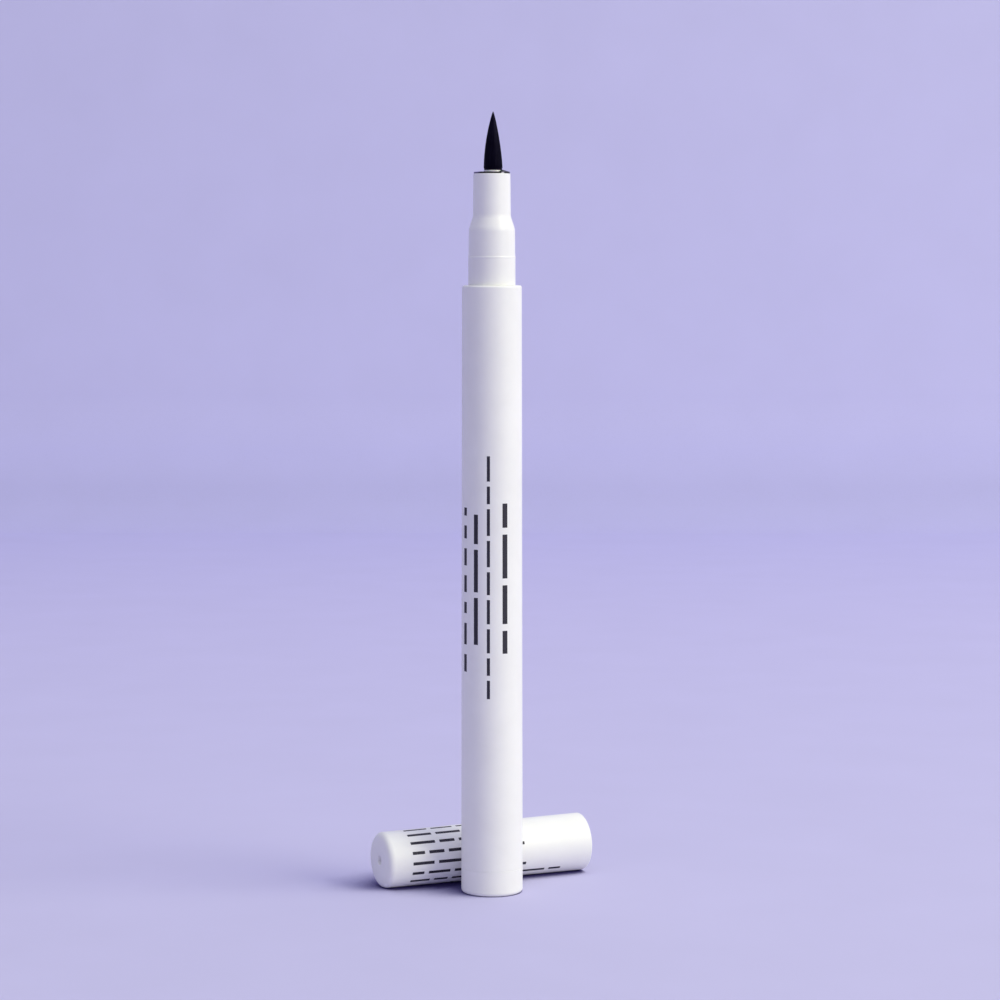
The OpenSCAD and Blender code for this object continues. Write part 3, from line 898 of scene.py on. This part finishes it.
paper, tree, shader, place = new_material("lavender_background_paper", Roughness=PAPER_ROUGHNESS)
spot = add(tree, "ShaderNodeSeparateXYZ", {"Vector": place}).outputs
sheet = add(tree, "ShaderNodeMath", {0: spot["Y"], 1: spot["Z"]}, operation="ADD").outputs[0]
share = add(tree, "ShaderNodeMapRange", {"Value": sheet, "From Min": SHEET_FROM * MM,
                                         "From Max": SHEET_TO * MM}).outputs["Result"]
sheet_tint_and_shade = between(tree, "#8d87bd", "#cac7eb", share)
for along_sheet, code in SHEET_TINTS_AND_PAINTED_SHADE:
    position = (along_sheet - SHEET_FROM) / (SHEET_TO - SHEET_FROM)
    sheet_tint_and_shade.color_ramp.elements.new(position).color = linear(code)
fibre = add(tree, "ShaderNodeTexNoise",
            {"Vector": place, "Scale": per_mm(FIBRE_MM), "Detail": 3.0}).outputs["Fac"]
mottled = add(tree, "ShaderNodeMath", {0: fibre, 1: 0.06, 2: 0.97},
              operation="MULTIPLY_ADD").outputs[0]
sheet_colour = add(tree, "ShaderNodeVectorMath", {0: sheet_tint_and_shade.outputs["Color"], "Scale": mottled},
                   operation="SCALE").outputs[0]
tree.links.new(sheet_colour, shader.inputs["Base Color"])
print("tints along the sheet:", len(sheet_tint_and_shade.color_ramp.elements))

# %% Paint shade on the paper close to the pen
LAMP_SIDE = (2.5, -1.0, 0.0)
SHADE_REACH = 12
CREVICE_REACH = 6
DEEP_SHADE = "#3d2e72"
AO_SAMPLES = 8

upward = add(tree, "ShaderNodeNewGeometry").outputs["Normal"]
to_lamp = add(tree, "ShaderNodeVectorMath", {0: upward, 1: LAMP_SIDE}, operation="ADD").outputs[0]
open_side = add(tree, "ShaderNodeAmbientOcclusion",
                {"Distance": SHADE_REACH * MM, "Normal": to_lamp}, samples=AO_SAMPLES)
shade = between(tree, DEEP_SHADE, "#ffffff", open_side.outputs["AO"], 0.43, 0.85)
open_sky = add(tree, "ShaderNodeAmbientOcclusion",
               {"Distance": CREVICE_REACH * MM, "Normal": upward}, samples=AO_SAMPLES)
painted_crevice_shade = between(tree, DEEP_SHADE, "#ffffff", open_sky.outputs["AO"], 0.26, 0.48)
darker = add(tree, "ShaderNodeVectorMath", {0: shade.outputs["Color"], 1: painted_crevice_shade.outputs["Color"]},
             operation="MINIMUM").outputs[0]
# The painted shade darkens the paper's colour where the eye sees it.
shaded_colour = add(tree, "ShaderNodeVectorMath", {0: sheet_colour, 1: darker},
                    operation="MULTIPLY").outputs[0]
shaded = add(tree, "ShaderNodeBsdfPrincipled",
             {"Base Color": shaded_colour, "Roughness": PAPER_ROUGHNESS}).outputs[0]
paper_mix = add(tree, "ShaderNodeMixShader",
                {0: looked_at(tree), 1: shader.outputs[0], 2: shaded}).outputs[0]
tree.links.new(paper_mix, tree.nodes["Material Output"].inputs["Surface"])
print("reach of the two shades in mm:", SHADE_REACH, CREVICE_REACH)

# %% Hang the paper
PAPER_HALF = 20000
PAPER_FRONT = -20000
WALL_Y = 690
WALL_TOP = 1100
COVE = 50
COVE_STEPS = 24

sweep_shape = bmesh.new()
sweep_points = [sweep_shape.verts.new((-PAPER_HALF * MM, y * MM, z * MM))
                for y, z in ((PAPER_FRONT, 0), (WALL_Y, 0), (WALL_Y, WALL_TOP))]
for first, second in zip(sweep_points, sweep_points[1:]):
    sweep_shape.edges.new((first, second))
bmesh.ops.bevel(sweep_shape, geom=[sweep_points[1]], offset=COVE * MM, offset_type="OFFSET",
                segments=COVE_STEPS, profile=0.5, affect="VERTICES", material=-1)
pulled = bmesh.ops.extrude_edge_only(sweep_shape, edges=sweep_shape.edges[:])["geom"]
bmesh.ops.translate(sweep_shape, verts=[part for part in pulled if isinstance(part, bmesh.types.BMVert)],
                    vec=(2 * PAPER_HALF * MM, 0, 0))
for face in sweep_shape.faces:
    face.normal_update()
    if face.normal.z < 0 or face.normal.y > 0:
        face.normal_flip()
sweep_mesh = bpy.data.meshes.new("backdrop")
sweep_shape.to_mesh(sweep_mesh)
sweep_shape.free()
sweep_mesh.shade_smooth()
sweep_mesh.materials.append(paper)
sweep = bpy.data.objects.new("backdrop", sweep_mesh)
bpy.context.scene.collection.objects.link(sweep)
print("paper faces:", len(sweep_mesh.polygons))

# %% [markdown]
# ## Step 21: the light
#
# The main lamp is a large soft box on the right. It leaves the left third of the pen in even shade,
# and its soft shadow falls to the left. A wide lamp above and a pale violet room fill the shade. Where
# the room itself is seen, past the edge of the paper or as a reflection, it is as lavender as the paper.

# %% Set the lamps
AIM = Vector((0, 0, 60)) * MM
ROOM_STRENGTH = 0.444


def soft_box(name, around, up, away, wide, high, lean, power, colour):
    """A rectangular lamp that looks at the pen, at an angle around it to the right of the camera."""
    data = bpy.data.lights.new(name, "AREA")
    data.shape = "RECTANGLE"
    data.size, data.size_y = wide, high
    data.energy = power
    data.color = linear(colour)[:3]
    lamp = bpy.data.objects.new(name, data)
    side, rise = math.radians(around), math.radians(up)
    ray = Vector((math.sin(side) * math.cos(rise), -math.cos(side) * math.cos(rise), math.sin(rise)))
    lamp.location = AIM + ray * away
    lean_turn = Matrix.Rotation(math.radians(lean), 4, "Z")
    lamp.rotation_euler = ((-ray).to_track_quat("-Z", "Y").to_matrix().to_4x4() @ lean_turn).to_euler()
    bpy.context.scene.collection.objects.link(lamp)
    print(name, "at", [round(v, 2) for v in lamp.location])


soft_box("key_soft_box", around=66, up=31, away=2.0, wide=1.8, high=0.8, lean=45, power=30.3,
         colour="#feffde")
soft_box("top_soft_box", around=20, up=85, away=1.2, wide=1.0, high=1.0, lean=0, power=4.9,
         colour="#f8fffc")

room = bpy.data.worlds.new("studio_room")
room.use_nodes = True
tree = room.node_tree
room_light = tree.nodes["Background"]
room_light.inputs["Color"].default_value = linear("#e9e6ff")
room_light.inputs["Strength"].default_value = ROOM_STRENGTH
room_walls = add(tree, "ShaderNodeBackground", {"Color": linear("#aaa5d6")}).outputs[0]
room_mix = add(tree, "ShaderNodeMixShader", {0: looked_at(tree), 1: room_light.outputs[0],
                                             2: room_walls}).outputs[0]
tree.links.new(room_mix, tree.nodes["World Output"].inputs["Surface"])
bpy.context.scene.world = room
bpy.context.scene.view_settings.view_transform = "Standard"
